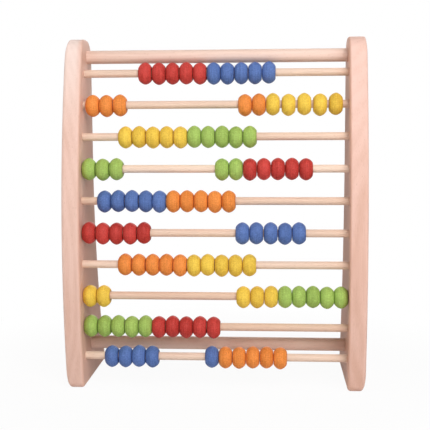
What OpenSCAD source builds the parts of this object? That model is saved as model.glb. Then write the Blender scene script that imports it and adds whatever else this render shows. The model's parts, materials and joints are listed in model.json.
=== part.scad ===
// Wooden counting frame: two bowed side panels carry two crossbars and ten rods of sliding beads.
// +Z is up and the front faces -Y. The origin is on the ground, at the middle of the footprint.

/* [Side panels] */
// Clear width between the two panels
inner_w = 237; // [200:1:280]
// Thickness of a panel
panel_t = 16; // [14:0.5:24]
// How far the bowed front edge draws back between its foremost point and the top
front_lean = 32.5; // [15:0.5:45]
// Height of the foremost point of the front edge
front_z = 112; // [60:1:140]
// How far the heel reaches behind the straight back edge
heel_flare = 38; // [20:1:60]
// Height at which the straight back edge starts to flare towards the heel
flare_z = 207; // [140:1:250]
// Rounding of the two top corners, seen from the side
top_r = 18; // [6:0.5:20]
// Rounding of the toe and the heel, seen from the side
foot_r = 7; // [5:0.5:14]
// Rounding of the edges along the inner faces
inner_edge_r = 2.5; // [1:0.5:6]
// Rounding of the edges along the outer faces
outer_edge_r = 4; // [1:0.5:6]

/* [Rods] */
// Diameter of a rod
rod_d = 7; // [5:0.1:9]
// Height between neighbouring rods
rod_pitch = 28.4; // [25:0.1:34]
// Height of the lowest rod
rod_low_z = 28; // [20:0.5:35]
// How far the rods lie behind the front edge
rod_inset = 16; // [14:0.5:24]
// Depth of a rod's blind socket
rod_socket = 10; // [6:0.5:12]

/* [Crossbars] */
// Diameter of a crossbar
bar_d = 12; // [9:0.5:16]
// Depth of a crossbar's blind socket
bar_socket = 11; // [6:0.5:12]
// How far the top bar leans back from straight above the top rod, in degrees
top_bar_angle = 40; // [10:1:45]
// Wood left above the top bar
bar_cover = 9.5; // [6:0.5:14]
// Wood left behind the top bar
bar_back_cover = 12.5; // [8:0.5:20]
// How far the bottom bar lies behind the lowest rod
low_bar_back = 28; // [18:0.5:36]
// How far the bottom bar lies above the lowest rod
low_bar_rise = 5.5; // [0:0.5:12]

/* [Beads] */
// Largest diameter of a bead
bead_d = 20; // [16:0.5:22]
// Length of a bead along its rod
bead_len = 12.1; // [9:0.1:16]
// Width of the flat ring around the bore at each end
end_ring = 1.6; // [0.5:0.1:2.5]
// Radius of the arc over the belly, as a share of one plain arc from end to end
belly_share = 0.6; // [0.4:0.01:0.95]

/* [Clearances] */
// Radial play of a bead on its rod
bead_play = 0.6; // [0.3:0.05:1]
// Space left between a hanging bead's bore and the top of its rod
hang_gap = 0.2; // [0.1:0.05:0.3]
// Space between neighbouring beads that touch
bead_gap = 0.25; // [0.1:0.05:0.5]
// Radial room for glue in a socket
glue_gap = 0.1; // [0.05:0.05:0.3]
// Space between the top row's beads and the top bar
bar_gap = 4.6; // [0.5:0.1:6]

/* [Hidden] */
$fn = 64;

WOOD = "#ecc9b4";
ROD_WOOD = "#f0cfb2";
PAINT = [
    ["red", "#cf3a38"],
    ["blue", "#4a68b0"],
    ["orange", "#f28a3a"],
    ["yellow", "#efc23f"],
    ["green", "#97c155"]
];

// Each row from the top, and in it each lot of beads from the left: the name of the lot, its paint,
// how many beads it holds, the share of the row's free length before it,
// and the share that is spread between its beads.
ROWS = [
    [
        ["red_free_bead", "red", 1, 0.434, 0],
        ["red_beads", "red", 4, 0, 0],
        ["blue_beads", "blue", 4, 0, 0],
        ["blue_free_bead", "blue", 1, 0, 0]
    ],
    [
        ["orange_left_beads", "orange", 2, 0.02, 0],
        ["orange_left_free_bead", "orange", 1, 0, 0],
        ["orange_right_free_bead", "orange", 1, 0.882, 0],
        ["orange_right_bead", "orange", 1, 0, 0],
        ["yellow_beads", "yellow", 5, 0, 0.054]
    ],
    [
        ["yellow_free_bead", "yellow", 1, 0.287, 0],
        ["yellow_beads", "yellow", 4, 0, 0],
        ["green_beads", "green", 4, 0, 0],
        ["green_free_bead", "green", 1, 0, 0]
    ],
    [
        ["green_left_beads", "green", 2, 0, 0],
        ["green_left_free_bead", "green", 1, 0, 0],
        ["green_right_free_bead", "green", 1, 0.724, 0],
        ["green_right_bead", "green", 1, 0, 0],
        ["red_beads", "red", 4, 0, 0],
        ["red_free_bead", "red", 1, 0, 0]
    ],
    [
        ["blue_free_bead", "blue", 1, 0.124, 0],
        ["blue_beads", "blue", 4, 0, 0],
        ["orange_beads", "orange", 4, 0, 0],
        ["orange_free_bead", "orange", 1, 0, 0]
    ],
    [
        ["red_beads", "red", 4, 0, 0],
        ["red_free_bead", "red", 1, 0, 0],
        ["blue_left_free_bead", "blue", 1, 0.666, 0],
        ["blue_beads", "blue", 3, 0, 0.005],
        ["blue_right_free_bead", "blue", 1, 0, 0]
    ],
    [
        ["orange_free_bead", "orange", 1, 0.285, 0],
        ["orange_beads", "orange", 4, 0, 0],
        ["yellow_beads", "yellow", 4, 0, 0],
        ["yellow_free_bead", "yellow", 1, 0, 0]
    ],
    [
        ["yellow_left_bead", "yellow", 1, 0, 0],
        ["yellow_left_free_bead", "yellow", 1, 0, 0],
        ["yellow_right_free_bead", "yellow", 1, 1, 0],
        ["yellow_right_beads", "yellow", 2, 0, 0],
        ["green_beads", "green", 5, 0, 0]
    ],
    [
        ["green_beads", "green", 5, 0, 0],
        ["red_beads", "red", 4, 0, 0],
        ["red_free_bead", "red", 1, 0, 0]
    ],
    [
        ["blue_left_free_bead", "blue", 1, 0.159, 0],
        ["blue_beads", "blue", 2, 0, 0],
        ["blue_right_free_bead", "blue", 1, 0, 0],
        ["blue_single_bead", "blue", 1, 0.369, 0],
        ["orange_beads", "orange", 4, 0, 0],
        ["orange_free_bead", "orange", 1, 0, 0]
    ]
];

row_count = len(ROWS);
function lot_node(row, lot) = str("row", row + 1, "_", ROWS[row][lot][0]);
function rod_node(row) = str("rod_", row + 1);

// Heights, and then depths measured back from the foremost point of the front edge
function rod_z(row) = rod_low_z + rod_pitch * (row_count - 1 - row);
bar_reach = bead_d / 2 + bar_gap + bar_d / 2;
top_bar_z = rod_z(0) + bar_reach * cos(top_bar_angle);
panel_h = top_bar_z + bar_d / 2 + bar_cover;
front_r = ((panel_h - front_z) ^ 2 + front_lean ^ 2) / (2 * front_lean);
function bow_y(z, inset) = front_r - sqrt((front_r - inset) ^ 2 - (z - front_z) ^ 2);
function rod_y(row) = bow_y(rod_z(row), rod_inset);
top_bar_y = rod_y(0) + bar_reach * sin(top_bar_angle);
low_bar_z = rod_z(row_count - 1) + low_bar_rise;
low_bar_y = rod_y(row_count - 1) + low_bar_back;
back_y = top_bar_y + bar_d / 2 + bar_back_cover;
heel_y = back_y + heel_flare;

// A corner's rounding is held back by the wood that it is cut from
top_round = min(top_r, (back_y - front_lean) * 0.48);
edge_limit = min(foot_r * 0.9, top_round * 0.9, panel_t * 0.45);
// The flare is an arc, tangent to the back edge where it starts and to the round of the heel where it ends
flare_r = ((heel_flare - foot_r) ^ 2 + (flare_z - foot_r) ^ 2 - foot_r ^ 2) / (2 * heel_flare);
flare_sweep = atan2(flare_z - foot_r, flare_r + foot_r - heel_flare);
toe_y = bow_y(foot_r, foot_r);
toe_lift = asin((front_z - foot_r) / (front_r - foot_r));
brow_y = bow_y(panel_h - top_round, top_round);
brow_lean = asin((panel_h - top_round - front_z) / (front_r - top_round));

bow_steps = 18;
flare_steps = 12;
corner_steps = 7;
heel_steps = 3;
edge_steps = 4;

// Points of an arc in the side view, each with the direction that leads out of the wood
function arc(y, z, r, from, to, steps, out = 1) = [
    for (i = [0 : steps])
        let (a = from + (to - from) * i / steps)
        [y + r * cos(a), z + r * sin(a), out * cos(a), out * sin(a)]
];
function tail(points) = [for (i = [1 : len(points) - 1]) points[i]];
function without_ends(points) = [for (i = [1 : len(points) - 2]) points[i]];

// The panel's outline seen from the right: from the toe, under to the heel, up the back and down the front
outline = concat(
    arc(toe_y, foot_r, foot_r, 180 + toe_lift, 270, corner_steps),
    arc(heel_y - foot_r, foot_r, foot_r, 270, 360, corner_steps),
    tail(arc(heel_y - foot_r, foot_r, foot_r, 0, flare_sweep, heel_steps)),
    tail(arc(back_y + flare_r, flare_z, flare_r, 180 + flare_sweep, 180, flare_steps, -1)),
    arc(back_y - top_round, panel_h - top_round, top_round, 0, 90, corner_steps),
    arc(brow_y, panel_h - top_round, top_round, 90, 180 - brow_lean, corner_steps),
    without_ends(arc(front_r, front_z, front_r, 180 - brow_lean, 180 + toe_lift, bow_steps))
);

// Rings of the outline that round an edge, from its face inwards: [distance from the face, drawn in by]
function edge_rings(r) = [
    for (i = [0 : edge_steps])
        let (a = 90 * i / edge_steps)
        [r * (1 - cos(a)), r * (1 - sin(a))]
];
inner_rings = edge_rings(min(inner_edge_r, edge_limit));
outer_rings = edge_rings(min(outer_edge_r, edge_limit));
// All the rings through the board's thickness: [distance from the inner face, drawn in by]
rings = concat(
    inner_rings,
    [for (i = [edge_steps : -1 : 0]) [panel_t - outer_rings[i][0], outer_rings[i][1]]]
);

module board() {
    n = len(outline);
    points = [
        for (ring = rings)
            for (p = outline)
                [ring[0], p[0] - ring[1] * p[2], p[1] - ring[1] * p[3]]
    ];
    sides = [
        for (k = [0 : len(rings) - 2])
            for (i = [0 : n - 1])
                [k * n + i, k * n + (i + 1) % n, (k + 1) * n + (i + 1) % n, (k + 1) * n + i]
    ];
    inner_face = [for (i = [n - 1 : -1 : 0]) i];
    outer_face = [for (i = [0 : n - 1]) (len(rings) - 1) * n + i];
    polyhedron(points, concat(sides, [inner_face, outer_face]), convexity = 4);
}

module socket(y, z, d, depth) {
    translate([-1, y, z]) rotate([0, 90, 0]) cylinder(d = d + 2 * glue_gap, h = depth + 1);
}

module panel() {
    translate([inner_w / 2, -heel_y / 2, 0]) difference() {
        board();
        for (row = [0 : row_count - 1])
            socket(rod_y(row), rod_z(row), rod_d, rod_socket);
        socket(top_bar_y, top_bar_z, bar_d, bar_socket);
        socket(low_bar_y, low_bar_z, bar_d, bar_socket);
    }
}

module right_panel() {
    color(WOOD) panel();
}

module left_panel() {
    color(WOOD) mirror([1, 0, 0]) panel();
}

// A round stick from socket floor to socket floor
module stick(y, z, d, socket_depth) {
    half = inner_w / 2 + socket_depth;
    translate([-half, y - heel_y / 2, z]) rotate([0, 90, 0]) cylinder(d = d, h = 2 * half);
}

module top_bar() {
    color(WOOD) stick(top_bar_y, top_bar_z, bar_d, bar_socket);
}

module bottom_bar() {
    color(WOOD) stick(low_bar_y, low_bar_z, bar_d, bar_socket);
}

module rod(row) {
    color(ROD_WOOD) stick(rod_y(row), rod_z(row), rod_d, rod_socket);
}

// A bead's side is an oval: a tight arc over the belly runs on at each side into a flatter shoulder,
// which ends at the edge of the flat ring. Points are [distance from the axis, place along the bead].
bead_bore_d = rod_d + 2 * bead_play;
bead_end_d = bead_bore_d + 2 * end_ring;
bead_crown = (bead_d - bead_end_d) / 2;
belly_r = belly_share * (bead_crown ^ 2 + (bead_len / 2) ^ 2) / (2 * bead_crown);
belly_c = [bead_d / 2 - belly_r, 0];
end_way = [bead_end_d / 2, bead_len / 2] - belly_c;
// The arcs meet between the top of the belly and where a straight line to the ring would leave the belly
meet_share = 0.38;
meet_angle = meet_share * (atan2(end_way.y, end_way.x) - acos(belly_r / norm(end_way)));
meet_way = [cos(meet_angle), sin(meet_angle)];
meet_x = belly_c.x + belly_r * meet_way.x;
shoulder_more = (end_way * end_way - belly_r ^ 2) / (2 * (belly_r - end_way * meet_way));
shoulder_r = belly_r + shoulder_more;
shoulder_c = belly_c - shoulder_more * meet_way;

module bead_side() {
    translate(belly_c) circle(r = belly_r);
    intersection() {
        square([2 * meet_x, bead_d], center = true);
        translate(shoulder_c) circle(r = shoulder_r);
        translate([shoulder_c.x, -shoulder_c.y]) circle(r = shoulder_r);
    }
}

module bead() {
    rotate([0, 90, 0]) rotate_extrude() intersection() {
        bead_side();
        translate([bead_bore_d / 2, -bead_len / 2]) square([bead_d, bead_len]);
    }
}

// Places along a row: every bead takes its own length and one gap, and the lots share out what is left
bead_step = bead_len + bead_gap;
function total(list, upto) = upto < 0 ? 0 : list[upto] + total(list, upto - 1);
function beads_before(row, lot) = total([for (l = ROWS[row]) l[2]], lot - 1);
function free_length(row) = inner_w - bead_gap - bead_step * beads_before(row, len(ROWS[row]));
function share_before(row, lot) = total([for (l = ROWS[row]) l[3]], lot)
    + total([for (l = ROWS[row]) l[4]], lot - 1);
function lot_x(row, lot) = bead_gap - inner_w / 2
    + bead_step * beads_before(row, lot)
    + free_length(row) * share_before(row, lot);
function lot_step(row, lot) = bead_step
    + free_length(row) * ROWS[row][lot][4] / max(1, ROWS[row][lot][2] - 1);
hang = bead_play - hang_gap;

module bead_lot(row, lot) {
    paint = PAINT[search([ROWS[row][lot][1]], PAINT)[0]][1];
    color(paint)
        for (i = [0 : ROWS[row][lot][2] - 1])
            translate([
                lot_x(row, lot) + bead_len / 2 + i * lot_step(row, lot),
                rod_y(row) - heel_y / 2,
                rod_z(row) - hang
            ])
                bead();
}

left_panel();
right_panel();
top_bar();
bottom_bar();
for (row = [0 : row_count - 1]) {
    rod(row);
    for (lot = [0 : len(ROWS[row]) - 1])
        bead_lot(row, lot);
}
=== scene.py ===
import json
import math

import bmesh
import bpy
from mathutils import Matrix, Vector
from mathutils.geometry import delaunay_2d_cdt


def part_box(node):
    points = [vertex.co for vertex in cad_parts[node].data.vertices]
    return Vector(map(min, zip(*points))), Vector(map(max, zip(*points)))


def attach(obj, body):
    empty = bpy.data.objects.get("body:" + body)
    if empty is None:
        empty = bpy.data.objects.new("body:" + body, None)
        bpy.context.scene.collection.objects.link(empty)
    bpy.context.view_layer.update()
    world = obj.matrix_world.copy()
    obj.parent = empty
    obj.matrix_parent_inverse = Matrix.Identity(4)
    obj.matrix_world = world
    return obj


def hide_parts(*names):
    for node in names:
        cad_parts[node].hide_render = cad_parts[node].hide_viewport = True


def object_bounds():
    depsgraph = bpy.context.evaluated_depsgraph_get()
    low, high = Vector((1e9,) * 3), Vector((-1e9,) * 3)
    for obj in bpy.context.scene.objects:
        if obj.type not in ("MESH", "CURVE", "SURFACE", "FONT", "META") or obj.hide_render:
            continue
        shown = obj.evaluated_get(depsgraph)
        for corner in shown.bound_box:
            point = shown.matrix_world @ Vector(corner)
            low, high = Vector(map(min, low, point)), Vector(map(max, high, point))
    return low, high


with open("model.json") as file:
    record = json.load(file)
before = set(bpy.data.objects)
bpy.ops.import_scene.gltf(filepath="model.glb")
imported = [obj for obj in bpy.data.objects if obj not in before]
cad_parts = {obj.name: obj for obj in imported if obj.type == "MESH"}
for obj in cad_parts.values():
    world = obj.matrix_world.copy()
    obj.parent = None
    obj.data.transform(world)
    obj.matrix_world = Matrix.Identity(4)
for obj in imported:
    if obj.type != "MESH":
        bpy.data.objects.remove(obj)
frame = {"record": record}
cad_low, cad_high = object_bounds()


# Side panels: two solid boards of pale steamed beech, sawn to one bowed outline with a heel at the back.
# Every long edge is routed round and sanded, and the wood has a thin clear matt oil.
# Blind sockets bored into the inner faces take the glued rods and crossbars.

MM = 0.001
FRONT_LEAN = 32.5 * MM
FRONT_Z = 112 * MM
HEEL_FLARE = 38 * MM
FLARE_Z = 207 * MM
TOP_ROUND = 18 * MM
FOOT_ROUND = 7 * MM
TOE_STEPS = 10
HEEL_STEPS = 14
FLARE_STEPS = 40
BROW_STEPS = 16
BOW_STEPS = 60
INNER_EDGE = 2.5 * MM
OUTER_EDGE = 4 * MM
TOP_EDGE = 1.6 * MM
FOOT_EDGE = 2.8 * MM
EDGE_STEPS = 8
TOP_EASE = {"left_panel": 2.1 * MM, "right_panel": 1.1 * MM}
TOP_REACH = 18 * MM
FOOT_EASE = 2.3 * MM
FOOT_REACH = 14 * MM
EASE_POWER = 1.5
FACE_ROWS = 7
FACE_STEP = 7 * MM
BOARD_CREASE = math.radians(30)
GLUE_GAP = 0.1 * MM
SOCKET_CHAMFER = 0.35 * MM
ROD_SOCKET = 10 * MM
BAR_SOCKET = 11 * MM
SOCKET_SIDES = 48
ROWS = 10

ROD_NODES = [f"rod_{row}" for row in range(1, ROWS + 1)]
BAR_NODES = ["top_bar", "bottom_bar"]
slot_of = {part["node"]: part["material_slot"] for part in frame["record"]["subparts"]}
body_of = {node: body for body, nodes in frame["record"]["behaviour"]["bodies"].items() for node in nodes}


def stick_seat(node):
    """Centre of a round stick in the side view, and its diameter."""
    low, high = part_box(node)
    return (low.y + high.y) / 2, (low.z + high.z) / 2, high.z - low.z


def arc(y, z, r, start, end, steps, out=1):
    """Points of an arc in the side view, each with the direction that leads out of the wood."""
    turns = [math.radians(start + (end - start) * i / steps) for i in range(steps + 1)]
    return [(y + r * math.cos(a), z + r * math.sin(a), out * math.cos(a), out * math.sin(a)) for a in turns]


def panel_outline(low, high):
    """The board's outline from the toe, under to the heel, up the back and down the bowed front."""
    depth = high.y - low.y
    height = high.z
    back = depth - HEEL_FLARE
    front_r = ((height - FRONT_Z) ** 2 + FRONT_LEAN ** 2) / (2 * FRONT_LEAN)

    def bow(z, inset):
        return front_r - math.sqrt((front_r - inset) ** 2 - (z - FRONT_Z) ** 2)

    rise = FLARE_Z - FOOT_ROUND
    flare_r = ((HEEL_FLARE - FOOT_ROUND) ** 2 + rise ** 2 - FOOT_ROUND ** 2) / (2 * HEEL_FLARE)
    sweep = math.degrees(math.atan2(rise, flare_r + FOOT_ROUND - HEEL_FLARE))
    toe_lift = math.degrees(math.asin((FRONT_Z - FOOT_ROUND) / (front_r - FOOT_ROUND)))
    brow_z = height - TOP_ROUND
    brow_lean = math.degrees(math.asin((brow_z - FRONT_Z) / (front_r - TOP_ROUND)))
    outline = arc(bow(FOOT_ROUND, FOOT_ROUND), FOOT_ROUND, FOOT_ROUND, 180 + toe_lift, 270, TOE_STEPS)
    outline += arc(depth - FOOT_ROUND, FOOT_ROUND, FOOT_ROUND, 270, 360 + sweep, HEEL_STEPS)
    outline += arc(back + flare_r, FLARE_Z, flare_r, 180 + sweep, 180, FLARE_STEPS, -1)[1:]
    outline += arc(back - TOP_ROUND, brow_z, TOP_ROUND, 0, 90, BROW_STEPS)
    outline += arc(bow(brow_z, TOP_ROUND), brow_z, TOP_ROUND, 90, 180 - brow_lean, BROW_STEPS)
    outline += arc(front_r, FRONT_Z, front_r, 180 - brow_lean, 180 + toe_lift, BOW_STEPS)[1:-1]
    return [(y + low.y, z, ny, nz) for y, z, ny, nz in outline]


def near_end(z, end, reach):
    """How near a height is to an end of the board, from 0 at reach away to 1 at the end."""
    return max(0.0, (z - end) / reach + 1)


def sanded_in(name, height, z):
    """How far a board's outer face is sanded in at a height z, near the top and the foot."""
    top = near_end(z, height, TOP_REACH) ** EASE_POWER
    foot = near_end(-z, 0, FOOT_REACH) ** EASE_POWER
    return TOP_EASE[name] * top + FOOT_EASE * foot


def edge_radius(height, z, outer):
    """Rounding of a board's outer or inner edge at a height z; it changes towards both ends."""
    radius = OUTER_EDGE if outer else INNER_EDGE
    radius += (TOP_EDGE - radius) * near_end(z, height, TOP_REACH)
    radius += (FOOT_EDGE - radius) * near_end(-z, 0, FOOT_REACH)
    return radius


def edge_ring(radius, turn):
    """Distance from the face, draw-in and bareness of a point on an edge's rounding."""
    return radius * (1 - math.cos(turn)), radius * (1 - math.sin(turn)), math.sin(2 * turn)


def join(bm, near, far):
    """Joins two rings of as many vertices by a band of smooth faces."""
    for i in range(len(near)):
        j = (i + 1) % len(near)
        bm.faces.new((near[i], near[j], far[j], far[i])).smooth = True


def fill(bm, rim, mouths=(), loose=()):
    """Fills a face of the board inside its rim, round the sockets' mouths and through loose vertices."""
    rings = [rim, *mouths]
    corners = [vert for ring in rings for vert in ring] + list(loose)
    number = {vert: i for i, vert in enumerate(corners)}
    edges = [(number[ring[i - 1]], number[ring[i]]) for ring in rings for i in range(len(ring))]
    flat = [Vector((vert.co.y, vert.co.z)) for vert in corners]
    inside_rim = 1
    closest = 1e-7
    _, _, triangles, source, _, _ = delaunay_2d_cdt(flat, edges, [], inside_rim, closest)
    for triangle in triangles:
        ends = [corners[source[i][0]] for i in triangle]
        if not any(all(vert in mouth for vert in ends) for mouth in mouths):
            bm.faces.new(ends).smooth = True


def face_points(bm, rim, levels, face_x):
    """Loose vertices in rows across the outer face, so that it can curve in towards its ends."""
    loose = []
    for z in levels:
        crossings = []
        for i in range(len(rim)):
            p = rim[i - 1].co
            q = rim[i].co
            if (p.z - z) * (q.z - z) < 0:
                crossings.append(p.y + (q.y - p.y) * (z - p.z) / (q.z - p.z))
        first = min(crossings)
        last = max(crossings)
        steps = max(2, round((last - first) / FACE_STEP))
        for i in range(1, steps):
            loose.append(bm.verts.new((face_x(z), first + (last - first) * i / steps, z)))
    return loose


def bore_sockets(bm, inner, side):
    """Bores the chamfered blind sockets into the inner face, and gives the rings of their mouths."""
    turns = [2 * math.pi * i / SOCKET_SIDES for i in range(SOCKET_SIDES)]
    mouths = []
    for node in ROD_NODES + BAR_NODES:
        y, z, diameter = stick_seat(node)
        depth = ROD_SOCKET if node in ROD_NODES else BAR_SOCKET
        bore = diameter / 2 + GLUE_GAP
        circles = []
        for inward, radius in ((0, bore + SOCKET_CHAMFER), (SOCKET_CHAMFER, bore), (depth, bore)):
            x = inner + side * inward
            circles.append([
                bm.verts.new((x, y + radius * math.cos(a), z + radius * math.sin(a))) for a in turns
            ])
        for near, far in zip(circles, circles[1:]):
            join(bm, near, far)
        bm.faces.new(circles[-1])
        mouths.append(circles[0])
    return mouths


def mesh_of(bm, name, crease):
    """Makes a mesh with its faces outwards, creased where two of them meet at more than an angle."""
    bmesh.ops.recalc_face_normals(bm, faces=bm.faces)
    for edge in bm.edges:
        if edge.calc_face_angle(0.0) > crease:
            edge.smooth = False
    mesh = bpy.data.meshes.new(name)
    bm.to_mesh(mesh)
    bm.free()
    return mesh


def board_mesh(name, side):
    """One closed board with rounded edges and bored sockets; side is -1 for the left, 1 for the right."""
    low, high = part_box(name)
    inner = low.x if side > 0 else high.x
    thickness = high.x - low.x
    outline = panel_outline(low, high)
    bm = bmesh.new()
    wear_layer = bm.verts.layers.float.new("rounding")

    loops = []
    turns = [math.pi / 2 * i / EDGE_STEPS for i in range(EDGE_STEPS + 1)]
    for outer, turn in [(False, turn) for turn in turns] + [(True, turn) for turn in reversed(turns)]:
        loop = []
        for y, z, ny, nz in outline:
            depth, drawn_in, wear = edge_ring(edge_radius(high.z, z, outer), turn)
            if outer:
                depth = thickness - depth - sanded_in(name, high.z, z)
            vert = bm.verts.new((inner + side * depth, y - drawn_in * ny, z - drawn_in * nz))
            vert[wear_layer] = wear
            loop.append(vert)
        loops.append(loop)
    for near, far in zip(loops, loops[1:]):
        join(bm, near, far)

    # The lowest row would fall on the foot's rounding, so the rows at the foot start with the second.
    levels = [high.z - TOP_REACH * i / FACE_ROWS for i in range(1, FACE_ROWS + 1)]
    levels += [FOOT_REACH * i / FACE_ROWS for i in range(2, FACE_ROWS + 1)]

    def face_x(z):
        return inner + side * (thickness - sanded_in(name, high.z, z))

    fill(bm, loops[-1], loose=face_points(bm, loops[-1], levels, face_x))
    fill(bm, loops[0], bore_sockets(bm, inner, side))
    return mesh_of(bm, f"{name}_board", BOARD_CREASE)


class Wire:
    """A socket in a node tree that takes part in Python arithmetic; each operator adds a Math node."""

    def __init__(self, tree, socket):
        self.tree = tree
        self.socket = socket

    def node(self, kind, settings=(), sockets=(), output=0):
        """Adds a node: its settings first, then the values or links of its sockets; gives one output."""
        made = self.tree.nodes.new(kind)
        for name, value in dict(settings).items():
            setattr(made, name, value)
        for name, value in dict(sockets).items():
            target = made.inputs[name]
            if isinstance(value, Wire):
                self.tree.links.new(value.socket, target)
            else:
                target.default_value = value
        return Wire(self.tree, made.outputs[output])

    def math(self, operation, *values):
        return self.node("ShaderNodeMath", {"operation": operation}, dict(enumerate(values)))

    def __add__(self, other):
        return self.math("ADD", self, other)

    def __radd__(self, other):
        return self.math("ADD", other, self)

    def __sub__(self, other):
        return self.math("SUBTRACT", self, other)

    def __rsub__(self, other):
        return self.math("SUBTRACT", other, self)

    def __mul__(self, other):
        return self.math("MULTIPLY", self, other)

    def __rmul__(self, other):
        return self.math("MULTIPLY", other, self)

    def __truediv__(self, other):
        return self.math("DIVIDE", self, other)

    def step(self, start, end):
        """0 below start, 1 above end and a smooth rise between them."""
        rise = {"Value": self, "From Min": start, "From Max": end}
        return self.node("ShaderNodeMapRange", {"interpolation_type": "SMOOTHSTEP"}, rise)

    def scaled(self, factor):
        """This vector times a number."""
        return self.node("ShaderNodeVectorMath", {"operation": "SCALE"}, {0: self, "Scale": factor})

    def noise(self, scale, detail=2.0, roughness=0.5):
        """Noise of about 0 to 1 on this vector, stretched by one scale for each axis."""
        placed = self.node("ShaderNodeVectorMath", {"operation": "MULTIPLY"}, {0: self, 1: scale})
        drawn = {"Vector": placed, "Scale": 1.0, "Detail": detail, "Roughness": roughness}
        return self.node("ShaderNodeTexNoise", {"noise_dimensions": "3D"}, drawn)

    def blend(self, under, over):
        """Mixes two colours by this value."""
        mixed = {0: self, 6: under, 7: over}
        return self.node("ShaderNodeMix", {"data_type": "RGBA", "clamp_factor": True}, mixed, 2)

    def place(self):
        """Where a point of the piece lies, in metres."""
        return self.node("ShaderNodeTexCoord", output="Object")

    def stored(self, name):
        """A value that the mesh carries, as a number."""
        return self.node("ShaderNodeAttribute", {"attribute_name": name}, output="Fac")


def finish_of(name, **constants):
    """A new material, with what is the same all over set on its shader, and a wire to start from."""
    material = bpy.data.materials.new(name)
    material.use_nodes = True
    tree = material.node_tree
    shader = tree.nodes["Principled BSDF"]
    for socket, value in constants.items():
        shader.inputs[socket.replace("_", " ")].default_value = value
    return material, Wire(tree, shader.outputs[0])


def coat(shader, colour, roughness, height, depth):
    """Feeds what varies over a surface to its shader: colour, roughness and fine relief."""
    relief = shader.node("ShaderNodeBump", {}, {"Strength": 1.0, "Distance": depth, "Height": height})
    principled = shader.socket.node
    for name, wire in (("Base Color", colour), ("Roughness", roughness), ("Normal", relief)):
        shader.tree.links.new(wire.socket, principled.inputs[name])


# Grain sizes are per millimetre across, over and along the wood; heights and depths are in millimetres.
SWAY_GRAIN = (0.03, 0.03, 0.008)
SWAY_WIDTH = 9.0
BROAD_GRAIN = (0.045, 0.045, 0.006)
BROAD_SHARE = 1.3
RING_SHARE = 0.55
RING_MEAN = 0.25
RING_RELIEF = 0.15
FIBRE_GRAIN = (2.0, 2.0, 0.045)
FIBRE_SHARE = 1.1
FIBRE_DULL = 0.14
FIBRE_RELIEF = 0.7
PORE_GRAIN = (1.3, 1.3, 0.3)
PORE_EDGE = (0.66, 0.76)
PORE_SHARE = 0.32
PORE_DULL = 0.08
PORE_RELIEF = 0.5
WOOD_SHEEN = 0.32
WOOD_ROUGHNESS = 0.5
WOOD_RELIEF = 0.06 * MM
# Boards grow paler towards the top: partly a drift in the wood's tone, partly painted light falling more on
# the top.
BOARD_DRIFT_AND_TOP_LIGHT = 0.0016
BOARD_MIDDLE = 160.0
# Painted highlight at the top end of a board: its whitish colour, the heights it spans and its depth from
# the inner face.
TOP_HIGHLIGHT_COLOUR = (1.0, 0.90, 0.86)
TOP_HIGHLIGHT_HEIGHT = (225.0, 320.0)
TOP_HIGHLIGHT_DEPTH = (1.0, 6.0)
# Painted shade on a board's inner face: its deeper brown colour and how far under the face it reaches.
INNER_SHADE_COLOUR = (0.65, 0.35, 0.24)
INNER_SHADE_DEPTH = (0.3, 2.0)
WORN_SHARE = 0.5
WORN_PALER = 1.06


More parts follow.
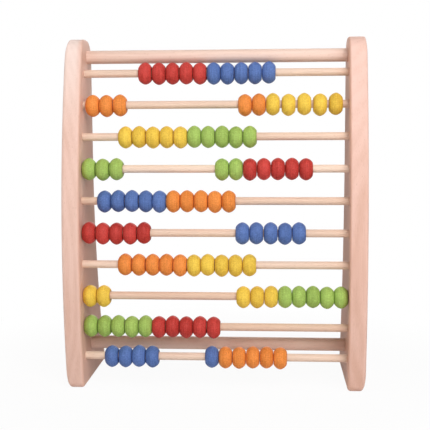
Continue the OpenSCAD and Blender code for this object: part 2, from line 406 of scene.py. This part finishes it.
def wood(name, pale, deep, fleck, lie, heart, ring, contrast, board=None, spread=0.0):
    """Solid wood whose grain runs along lie ("X" or "Z"), cut at a distance from the heart of the trunk.

    Spread is how far pieces differ in tone. A board has the distance of its inner face from the middle, how
    strongly a painted highlight whitens its top end, and how deep the painted shade on its inner face is. A
    board also grows paler towards its top, partly a drift in its tone and partly painted light from above.
    """
    material, shader = finish_of(name, Specular_IOR_Level=WOOD_SHEEN)
    place = shader.place().scaled(1 / MM)
    axes = [place.node("ShaderNodeSeparateXYZ", {}, {0: place}, i) for i in range(3)]
    across, over, along = axes if lie == "Z" else (axes[1], axes[2], axes[0])
    grain = place.node("ShaderNodeCombineXYZ", {}, {0: across, 1: over, 2: along})
    sway = grain.noise(SWAY_GRAIN) - 0.5
    aside = across - heart[0]
    above = over - heart[1]
    square = aside * aside + above * above
    turns = (square.math("SQRT", square) + SWAY_WIDTH * sway) / ring
    late = 0.5 - 0.5 * turns.math("COSINE", turns * (2 * math.pi))
    broad = grain.noise(BROAD_GRAIN)
    fibre = grain.noise(FIBRE_GRAIN, detail=4.0, roughness=0.6)
    pore = grain.noise(PORE_GRAIN, detail=1.0).step(*PORE_EDGE)
    figure = RING_SHARE * (late * broad - RING_MEAN) + FIBRE_SHARE * (fibre - 0.5)
    shade = 0.5 + contrast * (figure + BROAD_SHARE * (broad - 0.5))
    if board:
        # Paler towards the top: partly a drift in tone, partly painted light that falls more on the top of
        # the board.
        shade = shade + BOARD_DRIFT_AND_TOP_LIGHT * BOARD_MIDDLE - BOARD_DRIFT_AND_TOP_LIGHT * along
    if spread:
        shade = shade + spread * (shader.stored("tone") - 0.5)
    colour = shade.blend((*pale, 1), (*deep, 1))
    colour = (pore * PORE_SHARE).blend(colour, (*fleck, 1))
    if board:
        inner, top_highlight, inner_shade = board
        below = across.math("ABSOLUTE", across) - inner
        # Painted highlight: the top end of a board whitens away from its inner face, where the light falls
        # strongest.
        painted_highlight = along.step(*TOP_HIGHLIGHT_HEIGHT) * below.step(*TOP_HIGHLIGHT_DEPTH) * top_highlight
        colour = painted_highlight.blend(colour, (*TOP_HIGHLIGHT_COLOUR, 1))
        # Painted shade: the inner face of a board turns a deeper brown, for the shade that falls between the
        # panels.
        colour = ((1 - below.step(*INNER_SHADE_DEPTH)) * inner_shade).blend(colour, (*INNER_SHADE_COLOUR, 1))
        paler = tuple(min(1.0, WORN_PALER * c) for c in pale)
        colour = (shader.stored("rounding") * broad * WORN_SHARE).blend(colour, (*paler, 1))
    roughness = WOOD_ROUGHNESS + FIBRE_DULL * fibre + PORE_DULL * pore
    height = fibre * FIBRE_RELIEF - pore * PORE_RELIEF + late * RING_RELIEF
    coat(shader, colour, roughness, height, WOOD_RELIEF)
    return material


# Per board: pale and deep wood, the strength of the painted highlight at the top, and of the painted shade
# on the inner face.
PANEL_TONES = {
    "left_panel": {"pale": (0.885, 0.62, 0.535), "deep": (0.74, 0.465, 0.37), "top_highlight": 0.53, "inner_shade": 0.5},
    "right_panel": {"pale": (0.86, 0.58, 0.50), "deep": (0.71, 0.43, 0.335), "top_highlight": 0.0, "inner_shade": 0.8},
}

for name, side in (("left_panel", -1), ("right_panel", 1)):
    panel = bpy.data.objects.new(f"{name}_board", board_mesh(name, side))
    bpy.context.scene.collection.objects.link(panel)
    low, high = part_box(name)
    inner = min(abs(low.x), abs(high.x)) / MM
    tones = PANEL_TONES[name]
    panel_wood = wood(
        f"{name}_wood", tones["pale"], tones["deep"], fleck=(0.50, 0.29, 0.19), lie="Z", heart=(46.0, 210.0),
        ring=4.2, contrast=1.05, board=(inner, tones["top_highlight"], tones["inner_shade"]),
    )
    panel.data.materials.append(panel_wood)
    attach(panel, body_of[name])
    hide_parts(name)


# Crossbars: two thick beech dowels, milled round with their grain lengthwise and chamfered at the ends.
# They are glued into the panels' sockets, one behind the top row and one low down at the back.

BAR_CHAMFER = 1.0 * MM
CHAMFER_RISE = 0.6
BAR_SIDES = 64
DOWEL_RINGS = 40
TURNED_CREASE = math.radians(35)
STICK_SPIN = 3.0
BAR_DENT = 0.05 * MM
BAR_DENT_SCALE = 60.0
BAR_SEED = 11
# Tones of the top and bottom bar; the bottom bar's deeper tone is painted shade, for the shade it sits in
# behind and under the rows.
BAR_TONES_AND_SHADE = (0.4, 0.72)


def turned(name, profile, sides, closed, off_centre=0.0):
    """A turned piece about the X axis from (place along, radius) points; a closed profile leaves a bore.

    The wider a ring is, the more it lies off the centre of the bore.
    """
    bm = bmesh.new()
    reach_layer = bm.verts.layers.float.new("reach")
    widest = max(radius for _, radius in profile)
    narrowest = min(radius for _, radius in profile)
    rings = []
    for x, radius in profile:
        aside = off_centre * (radius - narrowest) / (widest - narrowest)
        ring = []
        for i in range(1 if radius == 0 else sides):
            a = 2 * math.pi * i / sides
            vert = bm.verts.new((x, radius * math.cos(a) + aside, radius * math.sin(a)))
            vert[reach_layer] = radius / widest
            ring.append(vert)
        rings.append(ring)
    if closed:
        rings.append(rings[0])
    for near, far in zip(rings, rings[1:]):
        if len(near) == len(far):
            join(bm, near, far)
            continue
        for i in range(sides):
            j = (i + 1) % sides
            corners = (near[0], far[i], far[j]) if len(near) == 1 else (near[i], near[j], far[0])
            bm.faces.new(corners).smooth = True
    pattern = bpy.data.objects.new(name, mesh_of(bm, name, TURNED_CREASE))
    bpy.context.scene.collection.objects.link(pattern)
    return pattern


def dowel(name, node, chamfer, sides):
    """A round stick as long and thick as a node, chamfered and ringed so that it can be a little uneven."""
    low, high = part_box(node)
    length = high.x - low.x
    half = length / 2
    radius = (high.z - low.z) / 2
    straight = length - 2 * chamfer
    body = [(-half + chamfer + straight * i / DOWEL_RINGS, radius) for i in range(DOWEL_RINGS + 1)]
    ends = [(half, radius - chamfer * CHAMFER_RISE), (half, 0)]
    return turned(name, [(-x, r) for x, r in reversed(ends)] + body + ends, sides, False)


def run_tree():
    """Geometry nodes: copies of a turned piece on a line, each spun, tilted, sized, toned and dented."""
    tree = bpy.data.node_groups.new("turned_run", "GeometryNodeTree")
    kinds = {
        "Piece": "Object", "Count": "Int", "First": "Vector", "Step": "Vector", "Tilt Low": "Vector",
        "Tilt High": "Vector", "Size Low": "Vector", "Size High": "Vector", "Tone Low": "Vector",
        "Tone High": "Vector", "Dent": "Float", "Dent Scale": "Float", "Seed": "Int", "Finish": "Material",
    }
    tree.interface.new_socket("Geometry", in_out="OUTPUT", socket_type="NodeSocketGeometry")
    for name, kind in kinds.items():
        tree.interface.new_socket(name, in_out="INPUT", socket_type=f"NodeSocket{kind}")
    entry = tree.nodes.new("NodeGroupInput")
    given = {name: Wire(tree, entry.outputs[name]) for name in kinds}
    start = given["Seed"]
    dent_stride = 3.7

    def draw(low, high, seed):
        spread = {0: low, 1: high, "Seed": start + seed}
        return start.node("FunctionNodeRandomValue", {"data_type": "FLOAT_VECTOR"}, spread)

    line = {"Count": given["Count"], "Start Location": given["First"], "Offset": given["Step"]}
    points = start.node("GeometryNodeMeshLine", {"mode": "OFFSET"}, line)
    piece = start.node("GeometryNodeObjectInfo", {}, {"Object": given["Piece"]}, "Geometry")
    size = draw(given["Size Low"], given["Size High"], 1)
    along = size.node("ShaderNodeSeparateXYZ", {}, {0: size}, 0)
    across = size.node("ShaderNodeSeparateXYZ", {}, {0: size}, 1)
    size = size.node("ShaderNodeCombineXYZ", {}, {0: along, 1: across, 2: across})
    tilt = draw(given["Tilt Low"], given["Tilt High"], 2)
    placed = {"Points": points, "Instance": piece, "Scale": size, "Rotation": tilt}
    copies = start.node("GeometryNodeInstanceOnPoints", {}, placed)
    tone = draw(given["Tone Low"], given["Tone High"], 3)
    toned = {"Geometry": copies, "Name": "tone", "Value": tone}
    copies = start.node(
        "GeometryNodeStoreNamedAttribute", {"data_type": "FLOAT_VECTOR", "domain": "INSTANCE"}, toned
    )
    solid = start.node("GeometryNodeRealizeInstances", {}, {"Geometry": copies})
    where = start.node("GeometryNodeInputPosition")
    dents = {"Vector": where, "W": start * dent_stride, "Scale": given["Dent Scale"], "Detail": 1.0}
    dents = start.node("ShaderNodeTexNoise", {"noise_dimensions": "4D"}, dents)
    shift = start.node("GeometryNodeInputNormal").scaled((dents - 0.5) * 2 * given["Dent"])
    solid = start.node("GeometryNodeSetPosition", {}, {"Geometry": solid, "Offset": shift})
    solid = start.node("GeometryNodeSetMaterial", {}, {"Geometry": solid, "Material": given["Finish"]})
    leave = tree.nodes.new("NodeGroupOutput")
    tree.links.new(solid.socket, leave.inputs[0])
    return tree


turned_run = run_tree()
run_inputs = {
    item.name: item.identifier for item in turned_run.interface.items_tree if item.in_out == "INPUT"
}


def place_run(name, node, **inputs):
    """Makes one run of turned pieces as a plain mesh, in the place of a node and on its body."""
    run = bpy.data.objects.new(name, bpy.data.meshes.new(name))
    bpy.context.scene.collection.objects.link(run)
    modifier = run.modifiers.new("turned_run", "NODES")
    modifier.node_group = turned_run
    for key, value in inputs.items():
        modifier[run_inputs[key.replace("_", " ")]] = value
    graph = bpy.context.evaluated_depsgraph_get()
    made = bpy.data.meshes.new_from_object(run.evaluated_get(graph), depsgraph=graph)
    run.modifiers.clear()
    run.data = made
    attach(run, body_of[node])
    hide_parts(node)


def place_stick(node, pattern, tone, dent, dent_scale, seed, finish):
    """Lays one dowel in the place of a node, turned about its own length."""
    low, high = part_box(node)
    place_run(
        f"{node}_dowel", node, Piece=pattern, Count=1, First=(low + high) / 2, Step=(0, 0, 0),
        Tilt_Low=(-STICK_SPIN, 0, 0), Tilt_High=(STICK_SPIN, 0, 0), Size_Low=(1, 1, 1), Size_High=(1, 1, 1),
        Tone_Low=[tone] * 3, Tone_High=[tone] * 3, Dent=dent, Dent_Scale=dent_scale,
        Seed=seed, Finish=finish,
    )


bar_wood = wood(
    "bar_wood", pale=(0.93, 0.71, 0.615), deep=(0.79, 0.54, 0.44), fleck=(0.54, 0.33, 0.22),
    lie="X", heart=(90.0, 30.0), ring=3.0, contrast=0.8, spread=1.2,
)
for order, node in enumerate(BAR_NODES):
    bar_pattern = dowel(f"{node}_pattern", node, BAR_CHAMFER, BAR_SIDES)
    place_stick(node, bar_pattern, BAR_TONES_AND_SHADE[order], BAR_DENT, BAR_DENT_SCALE, BAR_SEED + order, bar_wood)
    bpy.data.objects.remove(bar_pattern)


# Rods: ten thin dowels of the same pale wood, one to a row, following the bow of the front edge.
# They are milled smooth for the beads to slide on, and glued into the panels' sockets.

ROD_CHAMFER = 0.7 * MM
ROD_SIDES = 48
ROD_DENT = 0.04 * MM
ROD_DENT_SCALE = 70.0
ROD_SEED = 31
ROD_TONES = (0.40, 0.60, 0.40, 0.05, 0.75, 0.50, 0.50, 0.85, 1.00, 0.40)

rod_wood = wood(
    "rod_wood", pale=(0.90, 0.70, 0.57), deep=(0.76, 0.53, 0.405), fleck=(0.54, 0.33, 0.21),
    lie="X", heart=(-60.0, -25.0), ring=2.2, contrast=1.0, spread=1.2,
)
rod_pattern = dowel("rod_pattern", ROD_NODES[0], ROD_CHAMFER, ROD_SIDES)
for order, node in enumerate(ROD_NODES):
    place_stick(node, rod_pattern, ROD_TONES[order], ROD_DENT, ROD_DENT_SCALE, ROD_SEED + order, rod_wood)
bpy.data.objects.remove(rod_pattern)


# Beads: a hundred turned beech barrels, bored through the middle and dipped in satin paint of five colours.
# Ten hang loose on each rod, so each sits a little askew, and the lips round the bore rub through to wood.

# Rolls and lips are shares of the end ring, and the ring in the bore is a share of half the length.
BEAD_LENGTH = 12.1 * MM
BEAD_GAP = 0.25 * MM
BEAD_BORE = 4.1 * MM
BEAD_RING = 1.6 * MM
BELLY_SHARE = 0.6
BELLY_STEPS = 5
MEET_SHARE = 0.38
SHOULDER_STEPS = 6
ROLL_START = 0.4
ROLL_END = 0.7
ROLL_STEPS = (0.33, 0.67, 1.0)
LIP_EASE = 0.35
LIP_CUT = 0.3
BORE_RING = 0.4
BEAD_OFF_CENTRE = 0.38 * MM
BEAD_SIDES = 48
BEAD_TILT = (3.1, 0.015, 0.020)
BEAD_SMALLEST = (0.994, 0.985, 1.0)
BEAD_DENT = 0.07 * MM
BEAD_DENT_SCALE = 110.0
BEAD_SEED = 100
BEAD_SEED_STEP = 7
COUNT_SLACK = 0.01


def bead_profile(length, diameter, bore, end_ring):
    """Half section of a bead: a tight arc over the belly, flatter shoulders, eased end rings and a bore."""
    half = length / 2
    crown = diameter / 2 - bore - end_ring
    belly_r = BELLY_SHARE * (crown ** 2 + half ** 2) / (2 * crown)
    belly_c = Vector((0, diameter / 2 - belly_r))
    edge = Vector((half, bore + end_ring))
    way = edge - belly_c
    meet = MEET_SHARE * (math.atan2(way.x, way.y) - math.acos(belly_r / way.length))
    lead = Vector((math.sin(meet), math.cos(meet)))
    more = (way.length_squared - belly_r ** 2) / (2 * (belly_r - way.dot(lead)))
    shoulder_r = belly_r + more
    shoulder_c = belly_c - more * lead
    last = math.atan2(*(edge - shoulder_c)) - end_ring * ROLL_START / shoulder_r
    turns = [meet * i / BELLY_STEPS for i in range(1, BELLY_STEPS + 1)]
    side = [belly_c + belly_r * Vector((math.sin(a), math.cos(a))) for a in turns]
    turns = [meet + (last - meet) * i / SHOULDER_STEPS for i in range(1, SHOULDER_STEPS + 1)]
    side += [shoulder_c + shoulder_r * Vector((math.sin(a), math.cos(a))) for a in turns]
    start = side[-1]
    ring = Vector((half, bore + end_ring * ROLL_END))
    for t in ROLL_STEPS:
        side.append(start * (1 - t) ** 2 + edge * 2 * t * (1 - t) + ring * t * t)
    ease = end_ring * LIP_EASE
    side += [(half, bore + ease), (half - ease * LIP_CUT, bore + ease * LIP_CUT), (half - ease, bore)]
    side.append((half * BORE_RING, bore))
    return [(0, diameter / 2)] + [(x, r) for x, r in side] + [(-x, r) for x, r in reversed(side)]


# Reaches are shares of the widest radius, and grain sizes are per millimetre along, over and across.
BEAD_PAINTS = {
    "red_paint": (0.54, 0.035, 0.025),
    "blue_paint": (0.091, 0.176, 0.464),
    "orange_paint": (0.95, 0.272, 0.043),
    "yellow_paint": (0.96, 0.58, 0.061),
    "green_paint": (0.36, 0.535, 0.109),
}
DEEP_PAINT = 0.69
LIGHT_PAINT = 1.18
LIGHT_LIFT = 0.03
BEAD_TONE_SHARE = 0.5
SPECK_GRAIN = (1.1, 1.1, 1.1)
SPECK_SHARE = 1.5
SPECK_DULL = 0.18
SPECK_RELIEF = 0.5
TURNING_GRAIN = (1.3, 0.06, 0.06)
TURNING_SHARE = 1.1
TURNING_RELIEF = 0.4
VEIN_GRAIN = (0.14, 1.2, 1.2)
VEIN_SHARE = 0.9
VEIN_RELIEF = 0.4
CLOUD_GRAIN = (0.2, 0.2, 0.2)
CLOUD_SHARE = 0.4
# Painted shade where beads meet: how deep its colour is, how far from the ends it reaches and how strongly.
CONTACT_SHADE_DEPTH = 0.5
CONTACT_SHADE_POWER = 1.5
CONTACT_SHADE_REACH = (0.55, 0.68)
CONTACT_SHADE_SHARE = 0.6
RUBBED_WOOD = (0.66, 0.45, 0.31)
RUBBED_REACH = (0.43, 0.46)
RUBBED_STRAY = 0.06
RUBBED_SHARE = 0.8
RUBBED_DULL = 0.12
PAINT_SHEEN = 0.22
PAINT_ROUGHNESS = 0.48
PAINT_RELIEF = 0.08 * MM


def bead_paint(name, colour):
    """Satin paint: turning marks, veins, specks, a tone per bead, painted shade at bead ends, worn lips."""
    material, shader = finish_of(name, Specular_IOR_Level=PAINT_SHEEN)
    place = shader.place().scaled(1 / MM)
    tone = shader.stored("tone")
    reach = shader.stored("reach")
    specks = place.noise(SPECK_GRAIN, roughness=0.6)
    turning = place.noise(TURNING_GRAIN, detail=3.0, roughness=0.6)
    veins = place.noise(VEIN_GRAIN, detail=3.0)
    cloud = place.noise(CLOUD_GRAIN)
    wear = SPECK_SHARE * (specks - 0.5) + TURNING_SHARE * (turning - 0.5)
    wear = wear + VEIN_SHARE * (veins - 0.5) + CLOUD_SHARE * (cloud - 0.5)
    deep = tuple(DEEP_PAINT * c for c in colour)
    light = tuple(min(1.0, LIGHT_PAINT * c + LIGHT_LIFT) for c in colour)
    paint = (0.5 + BEAD_TONE_SHARE * (tone - 0.5) + wear).blend((*deep, 1), (*light, 1))
    # Painted shade: each bead's ends go deeper in colour, where shade falls between touching beads.
    contact_shade = tuple(CONTACT_SHADE_DEPTH * c ** CONTACT_SHADE_POWER for c in colour)
    paint = ((1 - reach.step(*CONTACT_SHADE_REACH)) * CONTACT_SHADE_SHARE).blend(paint, (*contact_shade, 1))
    rubbed = (1 - (reach + RUBBED_STRAY * (specks - 0.5)).step(*RUBBED_REACH)) * RUBBED_SHARE
    paint = rubbed.blend(paint, (*RUBBED_WOOD, 1))
    roughness = PAINT_ROUGHNESS + SPECK_DULL * specks + RUBBED_DULL * rubbed
    height = specks * SPECK_RELIEF + turning * TURNING_RELIEF + veins * VEIN_RELIEF
    coat(shader, paint, roughness, height, PAINT_RELIEF)
    return material


bead_finish = {slot: bead_paint(slot, colour) for slot, colour in BEAD_PAINTS.items()}
bead_nodes = [node for node in slot_of if slot_of[node] in bead_finish]
low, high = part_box(bead_nodes[0])
section = bead_profile(BEAD_LENGTH, high.z - low.z, BEAD_BORE, BEAD_RING)
bead_pattern = turned("bead_pattern", section, BEAD_SIDES, True, BEAD_OFF_CENTRE)
for order, node in enumerate(bead_nodes):
    low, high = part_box(node)
    span = high.x - low.x
    count = int((span + BEAD_GAP) / (BEAD_LENGTH + BEAD_GAP) + COUNT_SLACK)
    step = (span - BEAD_LENGTH) / max(1, count - 1)
    first = Vector((low.x + BEAD_LENGTH / 2, (low.y + high.y) / 2, (low.z + high.z) / 2))
    place_run(
        f"painted_{node}", node, Piece=bead_pattern, Count=count, First=first, Step=(step, 0, 0),
        Tilt_Low=[-a for a in BEAD_TILT], Tilt_High=BEAD_TILT, Size_Low=BEAD_SMALLEST, Size_High=(1, 1, 1),
        Tone_Low=(0, 0, 0), Tone_High=(1, 1, 1), Dent=BEAD_DENT, Dent_Scale=BEAD_DENT_SCALE,
        Seed=BEAD_SEED + BEAD_SEED_STEP * order, Finish=bead_finish[slot_of[node]],
    )
bpy.data.objects.remove(bead_pattern)


# Studio: a white floor that keeps the frame's shadow, a white surround and soft lamps as round a light tent:
# high on the right, low in front, on both sides, and far behind for the back.
# The camera stands in front, a little to the right and above the middle.

WHITE = (1, 1, 1, 1)
FLOOR_HALF = 4.0
FLOOR_GREY = (0.8, 0.8, 0.8, 1)
FLOOR_SHADE = 0.05
SHADE_REACH = (0.16, 0.36)
SKY_COLOUR = (1.0, 0.88, 0.85, 1)
SKY_LIGHT = 0.03


def seen_directly(wire):
    """1 for rays from the camera and for reflections and refractions, which show the same white."""
    camera_ray = wire.node("ShaderNodeLightPath", output="Is Camera Ray")
    glossy_ray = wire.node("ShaderNodeLightPath", output="Is Glossy Ray")
    through_ray = wire.node("ShaderNodeLightPath", output="Is Transmission Ray")
    seen = camera_ray + glossy_ray + through_ray
    return seen.math("MINIMUM", seen, 1.0)


bm = bmesh.new()
bmesh.ops.create_grid(bm, x_segments=2, y_segments=2, size=FLOOR_HALF)
floor_mesh = bpy.data.meshes.new("floor")
bm.to_mesh(floor_mesh)
bm.free()
floor = bpy.data.objects.new("floor", floor_mesh)
bpy.context.scene.collection.objects.link(floor)

floor_white = bpy.data.materials.new("floor_white")
floor_white.use_nodes = True
floor_tree = floor_white.node_tree
floor_tree.nodes.clear()
leave = floor_tree.nodes.new("ShaderNodeOutputMaterial")
floor_start = Wire(floor_tree, leave.inputs[0])
matt = floor_start.node("ShaderNodeBsdfDiffuse", {}, {"Color": FLOOR_GREY})
glow = floor_start.node("ShaderNodeEmission", {}, {"Color": WHITE, "Strength": 1.0})
spot = floor_start.place()
away = spot.node("ShaderNodeVectorMath", {"operation": "LENGTH"}, {0: spot}, "Value")
white = (1 - FLOOR_SHADE) + FLOOR_SHADE * away.step(*SHADE_REACH)
mix = floor_start.node("ShaderNodeMixShader", {}, {0: seen_directly(floor_start) * white, 1: matt, 2: glow})
floor_tree.links.new(mix.socket, leave.inputs[0])
floor.data.materials.append(floor_white)

world = bpy.data.worlds.new("studio")
bpy.context.scene.world = world
world.use_nodes = True
sky = world.node_tree.nodes["Background"]
seen = seen_directly(Wire(world.node_tree, sky.outputs[0]))
world.node_tree.links.new((SKY_LIGHT + (1 - SKY_LIGHT) * seen).socket, sky.inputs["Strength"])
world.node_tree.links.new(seen.blend(SKY_COLOUR, WHITE).socket, sky.inputs["Color"])

LAMP_COLOUR = (1.0, 0.985, 0.965)
LAMPS = {
    "key_lamp": {"place": (0.45, -1.0, 1.5), "aim": (0, 0, 0.17), "size": (0.5, 0.5), "watts": 9.5},
    "front_lamp": {"place": (0.45, -1.0, 0.55), "aim": (0, 0, 0.17), "size": (0.9, 0.6), "watts": 6.9},
    "left_front_lamp": {"place": (-0.8, -1.0, 1.05), "aim": (0, 0, 0.17), "size": (0.5, 0.5), "watts": 3.4},
    "left_lamp": {"place": (-1.3, -0.2, 0.6), "aim": (0, 0, 0.17), "size": (0.5, 0.5), "watts": 4.3},
    "right_lamp": {"place": (1.3, -0.2, 0.6), "aim": (0, 0, 0.17), "size": (0.5, 0.5), "watts": 1.8},
    "back_lamp": {"place": (0.16, 3.2, 1.2), "aim": (0, 0, 0.15), "size": (1.2, 1.4), "watts": 28.0},
}

for name, lamp in LAMPS.items():
    light = bpy.data.lights.new(name, "AREA")
    light.shape = "RECTANGLE"
    light.size, light.size_y = lamp["size"]
    light.energy = lamp["watts"]
    light.color = LAMP_COLOUR
    holder = bpy.data.objects.new(name, light)
    bpy.context.scene.collection.objects.link(holder)
    holder.location = lamp["place"]
    holder.rotation_euler = (Vector(lamp["aim"]) - holder.location).to_track_quat("-Z", "Y").to_euler()

IMAGE_SIDE = 430
SENSOR = 36.0
FOCAL_PIXELS = 870
NEAREST = 0.01
FURTHEST = 20.0
CAMERA_PLACE = (0.051444, -0.748706 + cad_low.y, 0.237256)
CAMERA_YAW = math.radians(3.792)
CAMERA_PITCH = math.radians(5.920)
CAMERA_ROLL = math.radians(-0.290)

level = Vector((math.cos(CAMERA_YAW), math.sin(CAMERA_YAW), 0))
forward = Vector((-math.sin(CAMERA_YAW), math.cos(CAMERA_YAW), 0))
ahead = forward * math.cos(CAMERA_PITCH) - Vector((0, 0, math.sin(CAMERA_PITCH)))
upright = level.cross(ahead)
right = level * math.cos(CAMERA_ROLL) + upright * math.sin(CAMERA_ROLL)
up = upright * math.cos(CAMERA_ROLL) - level * math.sin(CAMERA_ROLL)
lens = bpy.data.cameras.new("camera")
lens.sensor_width = SENSOR
lens.lens = FOCAL_PIXELS / IMAGE_SIDE * SENSOR
lens.clip_start = NEAREST
lens.clip_end = FURTHEST
camera = bpy.data.objects.new("camera", lens)
bpy.context.scene.collection.objects.link(camera)
camera.matrix_world = Matrix.Translation(CAMERA_PLACE) @ Matrix((right, up, -ahead)).transposed().to_4x4()
bpy.context.scene.camera = camera
bpy.context.scene.view_settings.view_transform = "Standard"
